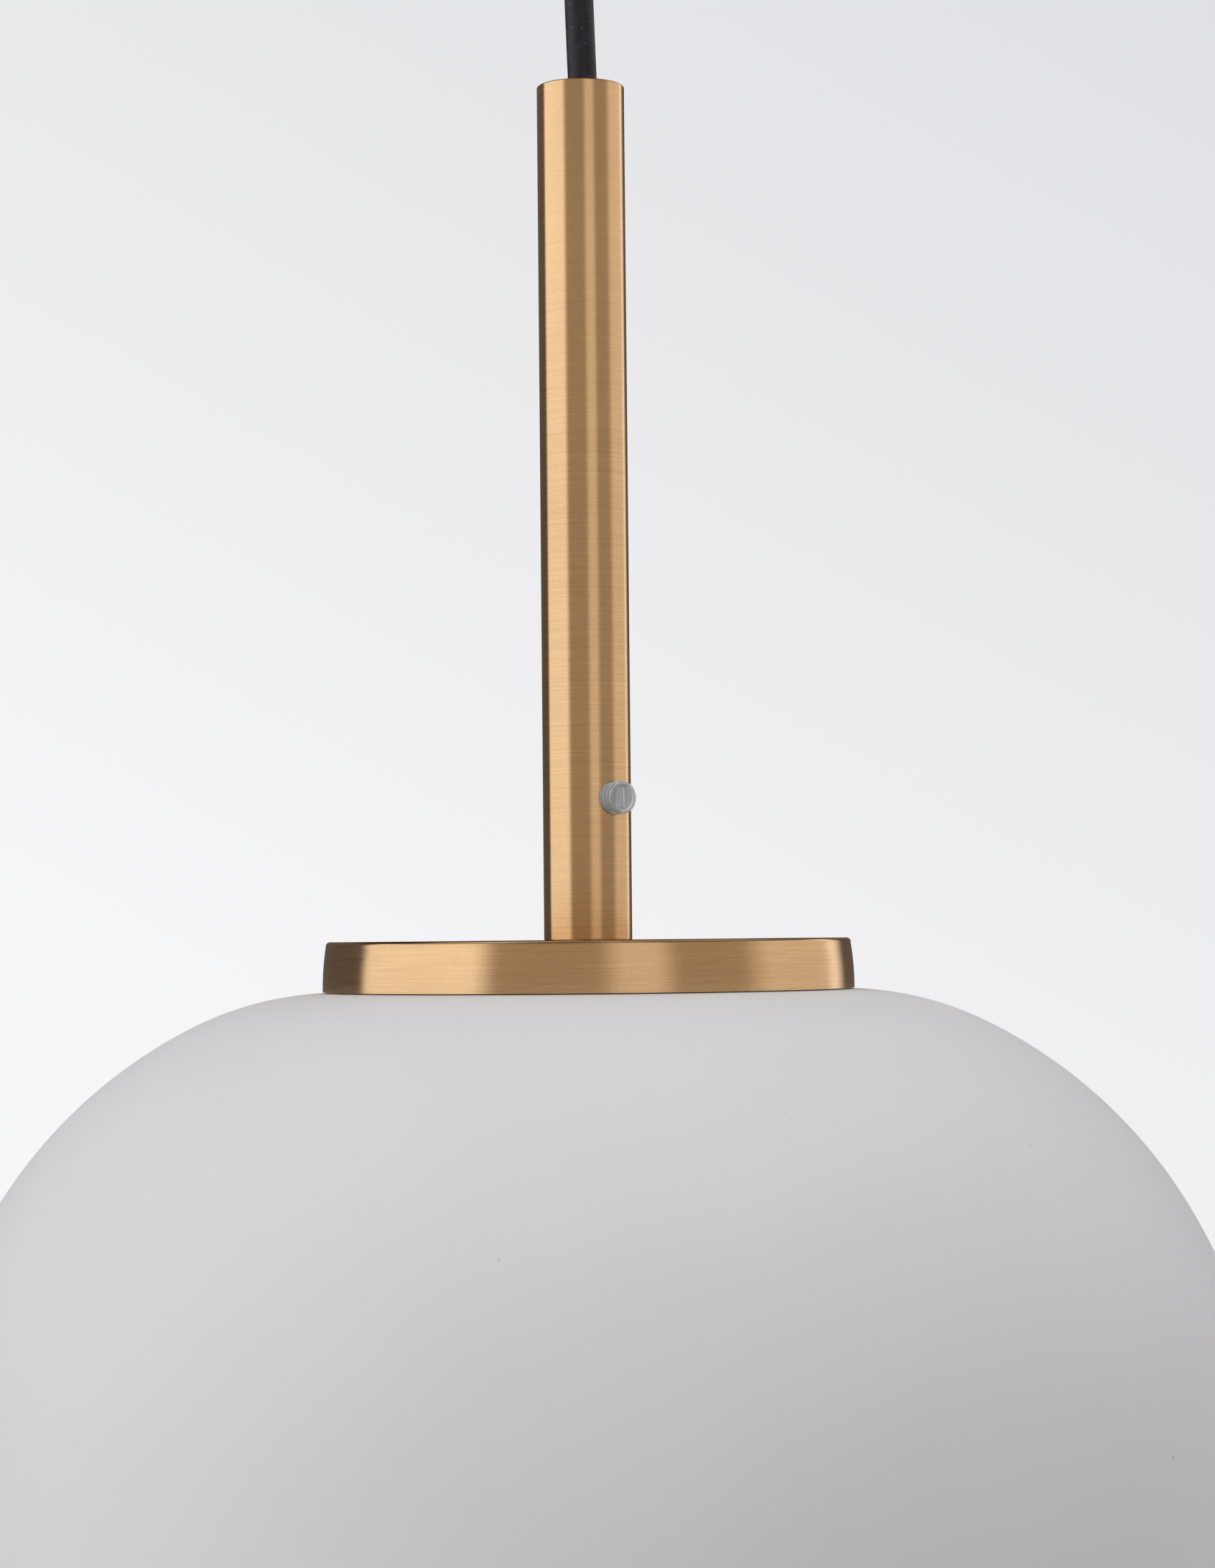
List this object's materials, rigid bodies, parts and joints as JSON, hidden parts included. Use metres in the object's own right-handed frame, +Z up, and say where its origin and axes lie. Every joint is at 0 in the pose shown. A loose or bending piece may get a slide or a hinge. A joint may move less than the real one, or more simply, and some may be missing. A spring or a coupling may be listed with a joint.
{
  "type": "pendant ceiling light",
  "caption": "Squashed opal glass globe under a shallow brass cap, on a slim brass stem hung by a black cable from a round ceiling canopy.",
  "frame": {"origin": "on the ceiling, at the centre of the bracket's two-slot pattern, which is the canopy's centre", "axes": "+Z up, the lamp hanging towards -Z; -Y is the front, from which the stem's clear screw shows right of centre; +X is to the right"},
  "size_m": [0.24, 0.24, 0.4488],
  "materials": {
    "satin_brass": "brushed round the axis, lacquered, satin",
    "raw_brass": "turned",
    "zinc_steel": "zinc plated",
    "spring_steel": "rolled and oiled",
    "black_sheath": "extruded, soft sheen",
    "brown_core": "extruded",
    "blue_core": "extruded",
    "earth_core": "extruded, green with yellow stripes",
    "clear_nylon": "moulded, clear",
    "terminal_plastic": "moulded",
    "silicone": "moulded",
    "opal_glass": "blown opal glass, etched to a satin",
    "holder_enamel": "white powder coat",
    "holder_ceramic": "glazed",
    "nickelled_brass": "nickel plated",
    "black_glass": "moulded glass",
    "frosted_glass": "acid frosted inside"
  },
  "bodies": {
    "canopy": {"ceiling_bracket": "zinc_steel", "bracket_earth_screw": "zinc_steel", "canopy_cup": "satin_brass", "canopy_side_screws": "satin_brass", "terminal_block": "terminal_plastic", "terminal_screws": "raw_brass", "cord_grip_body": "satin_brass", "cord_grip_washer": "zinc_steel", "cord_grip_nut": "raw_brass", "cord_grip_screw": "clear_nylon", "cable_in_canopy": "black_sheath", "canopy_core_live": "brown_core", "canopy_core_neutral": "blue_core", "canopy_core_earth": "earth_core"},
    "cable": {"supply_cable": "black_sheath"},
    "lamp": {"cable_in_stem": "black_sheath", "stem_tube": "satin_brass", "stem_bushing": "raw_brass", "clamp_bushing": "raw_brass", "threaded_nipple": "raw_brass", "cap_shell": "satin_brass", "carrier_plate": "zinc_steel", "arm_rivets": "zinc_steel", "spring_arm_1": "spring_steel", "spring_arm_2": "spring_steel", "spring_arm_3": "spring_steel", "lock_washer": "zinc_steel", "nipple_nut": "raw_brass", "shade_gasket": "silicone", "lampholder_dome": "holder_enamel", "lampholder_skirt": "holder_enamel", "lampholder_core": "holder_ceramic", "thread_shell": "nickelled_brass", "centre_contact": "raw_brass", "holder_terminals": "raw_brass", "holder_terminal_screws": "zinc_steel", "holder_core_live": "brown_core", "holder_core_neutral": "blue_core", "holder_core_earth": "earth_core"},
    "clamp_screw": {"clamp_screw": "clear_nylon"},
    "shade": {"shade_glass": "opal_glass"},
    "bulb": {"bulb_envelope": "frosted_glass", "bulb_screw_cap": "nickelled_brass", "bulb_insulator": "black_glass", "bulb_tip_contact": "nickelled_brass"}
  },
  "joints": [
    {"name": "cable_swing", "type": "hinge", "parent": "canopy", "child": "cable", "pos_m": [0, 0, -0.037], "axis": [0, 1, 0], "range_deg": [-25, 25], "deforming": ["supply_cable"]},
    {"name": "lamp_tilt", "type": "hinge", "parent": "cable", "child": "lamp", "pos_m": [0.0008, 0, -0.117], "axis": [1, 0, 0], "range_deg": [-15, 15], "deforming": ["supply_cable"]},
    {"name": "clamp_screw_travel", "type": "slide", "parent": "lamp", "child": "clamp_screw", "axis": [0.6157, -0.788, 0], "range_m": [0, 0.004]},
    {"name": "shade_release", "type": "slide", "parent": "lamp", "child": "shade", "axis": [0, 0, 1], "range_m": [-0.15, 0], "deforming": ["spring_arm_1", "spring_arm_2", "spring_arm_3"]},
    {"name": "bulb_removal", "type": "slide", "parent": "lamp", "child": "bulb", "axis": [0, 0, 1], "range_m": [-0.03, 0]}
  ]
}
